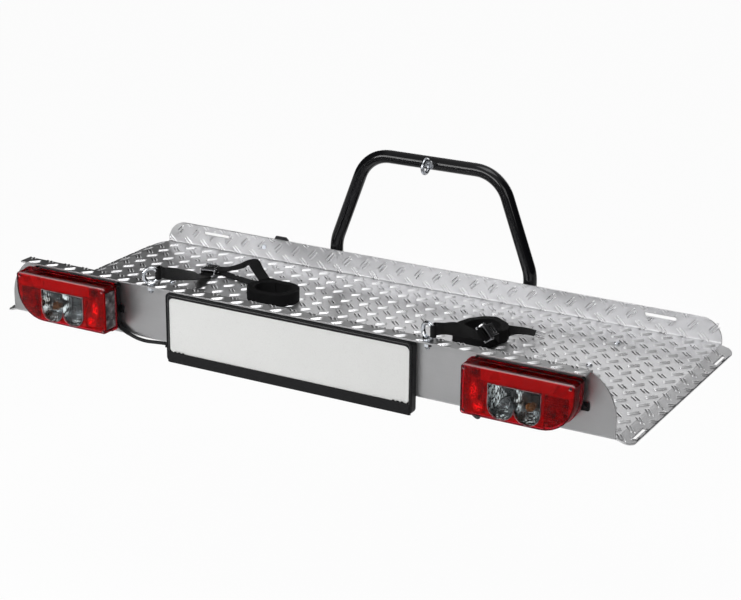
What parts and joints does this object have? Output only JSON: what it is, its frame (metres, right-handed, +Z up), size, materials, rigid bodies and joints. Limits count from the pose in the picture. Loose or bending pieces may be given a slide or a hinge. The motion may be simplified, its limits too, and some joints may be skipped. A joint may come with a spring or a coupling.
{
  "type": "hitch cargo platform",
  "caption": "Tread-plate cargo tray that clamps on a tow ball, with tail lamps, a number plate holder, a rear hoop and lashing straps.",
  "frame": {"origin": "centre of the tow ball that carries the platform", "axes": "+Z up, +X along the tray to the right as seen from the lamps, +Y towards the towing car"},
  "size_m": [1.3608, 0.808, 0.4185],
  "materials": {
    "tread_plate": "mill-bright five-bar tread plate",
    "frame_black": "black powder coat",
    "hoop_gloss": "gloss black",
    "zinc": "bright zinc",
    "black_screw": "black oxide",
    "lens_red": "clear red lens",
    "lens_clear": "clear plastic",
    "reflector": "metallised",
    "bulb_orange": "tinted glass",
    "black_plastic": "satin black",
    "cable_black": "matt sheath",
    "webbing": "woven polyester",
    "buckle_chrome": "chromed",
    "plate_white": "bare white sheet",
    "bracket_black": "satin black",
    "grip_rubber": "ribbed",
    "cast_grey": "dark coated"
  },
  "bodies": {
    "coupling": {"coupling_head": "cast_grey", "coupling_pins": "zinc"},
    "clamp_lever": {"clamp_lever": "cast_grey", "lever_grip": "grip_rubber"},
    "clamp_rod": {"clamp_rod": "zinc"},
    "clamp_jaw": {"clamp_jaw": "cast_grey"},
    "tilt_knob": {"tilt_knob": "black_plastic"},
    "left_cam": {"left_buckle_cam": "buckle_chrome"},
    "right_cam": {"right_buckle_cam": "buckle_chrome"},
    "plate_strip": {"plate_strip": "black_plastic"},
    "platform": {"bracket_screw": "zinc", "cable_clips": "black_plastic", "deck_nuts": "zinc", "deck_screws": "zinc", "deck_tray": "tread_plate", "end_caps": "black_plastic", "eye_bolts": "zinc", "eye_nuts": "zinc", "front_cross_tube": "frame_black", "hinge_beam": "frame_black", "holder_screws": "zinc", "hoop": "hoop_gloss", "hoop_screws": "zinc", "hoop_sockets": "frame_black", "junction_box": "black_plastic", "left_buckle_frame": "buckle_chrome", "left_lamp_base": "black_plastic", "left_lamp_bolts": "zinc", "left_lamp_bulbs": "bulb_orange", "left_lamp_cable": "cable_black", "left_lamp_lens": "lens_red", "left_lamp_reflector": "reflector", "left_lamp_screws": "black_screw", "left_lamp_windows": "lens_clear", "left_rail": "frame_black", "left_strap_roll": "webbing", "left_strap_run": "webbing", "left_strap_tail": "webbing", "number_plate": "plate_white", "plate_holder": "black_plastic", "plug": "black_plastic", "plug_bracket": "bracket_black", "plug_lead": "cable_black", "rail_bolts": "zinc", "rail_nuts": "zinc", "rear_cross_tube": "frame_black", "right_buckle_frame": "buckle_chrome", "right_lamp_base": "black_plastic", "right_lamp_bolts": "zinc", "right_lamp_bulbs": "bulb_orange", "right_lamp_cable": "cable_black", "right_lamp_lens": "lens_red", "right_lamp_reflector": "reflector", "right_lamp_screws": "black_screw", "right_lamp_windows": "lens_clear", "right_rail": "frame_black", "right_strap_roll": "webbing", "right_strap_run": "webbing", "right_strap_tail": "webbing", "tilt_bolt": "zinc"}
  },
  "joints": [
    {"name": "platform_tilt", "type": "hinge", "parent": "coupling", "child": "platform", "pos_m": [0, -0.058, 0.04], "axis": [1, 0, 0], "range_deg": [0, 30]},
    {"name": "tilt_knob_turn", "type": "hinge", "parent": "platform", "child": "tilt_knob", "pos_m": [0, -0.058, 0.04], "axis": [1, 0, 0], "range_deg": [0, 180]},
    {"name": "clamp_lever_lift", "type": "hinge", "parent": "coupling", "child": "clamp_lever", "pos_m": [0, 0.05, 0.034], "axis": [1, 0, 0], "range_deg": [-100, 0]},
    {"name": "clamp_rod_slide", "type": "slide", "parent": "coupling", "child": "clamp_rod", "axis": [0, 1, 0], "range_m": [0, 0.005]},
    {"name": "clamp_jaw_grip", "type": "hinge", "parent": "coupling", "child": "clamp_jaw", "pos_m": [0, -0.034, 0.016], "axis": [1, 0, 0], "range_deg": [-12, 0]},
    {"name": "left_cam_lift", "type": "hinge", "parent": "platform", "child": "left_cam", "pos_m": [-0.432, -0.318, 0.116], "axis": [0.995, 0.1, 0], "range_deg": [0, 60], "stiffness_Nm_per_rad": 0.05},
    {"name": "right_cam_lift", "type": "hinge", "parent": "platform", "child": "right_cam", "pos_m": [0.27937, -0.4275, 0.14474], "axis": [0.6746, -0.1122, -0.7296], "range_deg": [0, 60], "stiffness_Nm_per_rad": 0.05},
    {"name": "plate_strip_flip", "type": "hinge", "parent": "platform", "child": "plate_strip", "pos_m": [0, -0.7048, 0.0708], "axis": [1, 0, 0], "range_deg": [0, 75]}
  ],
  "couplings": [
    {"joint": "clamp_rod_slide", "follows": "clamp_lever_lift", "m_per_rad": -0.00286},
    {"joint": "clamp_jaw_grip", "follows": "clamp_lever_lift", "ratio": 0.12}
  ]
}
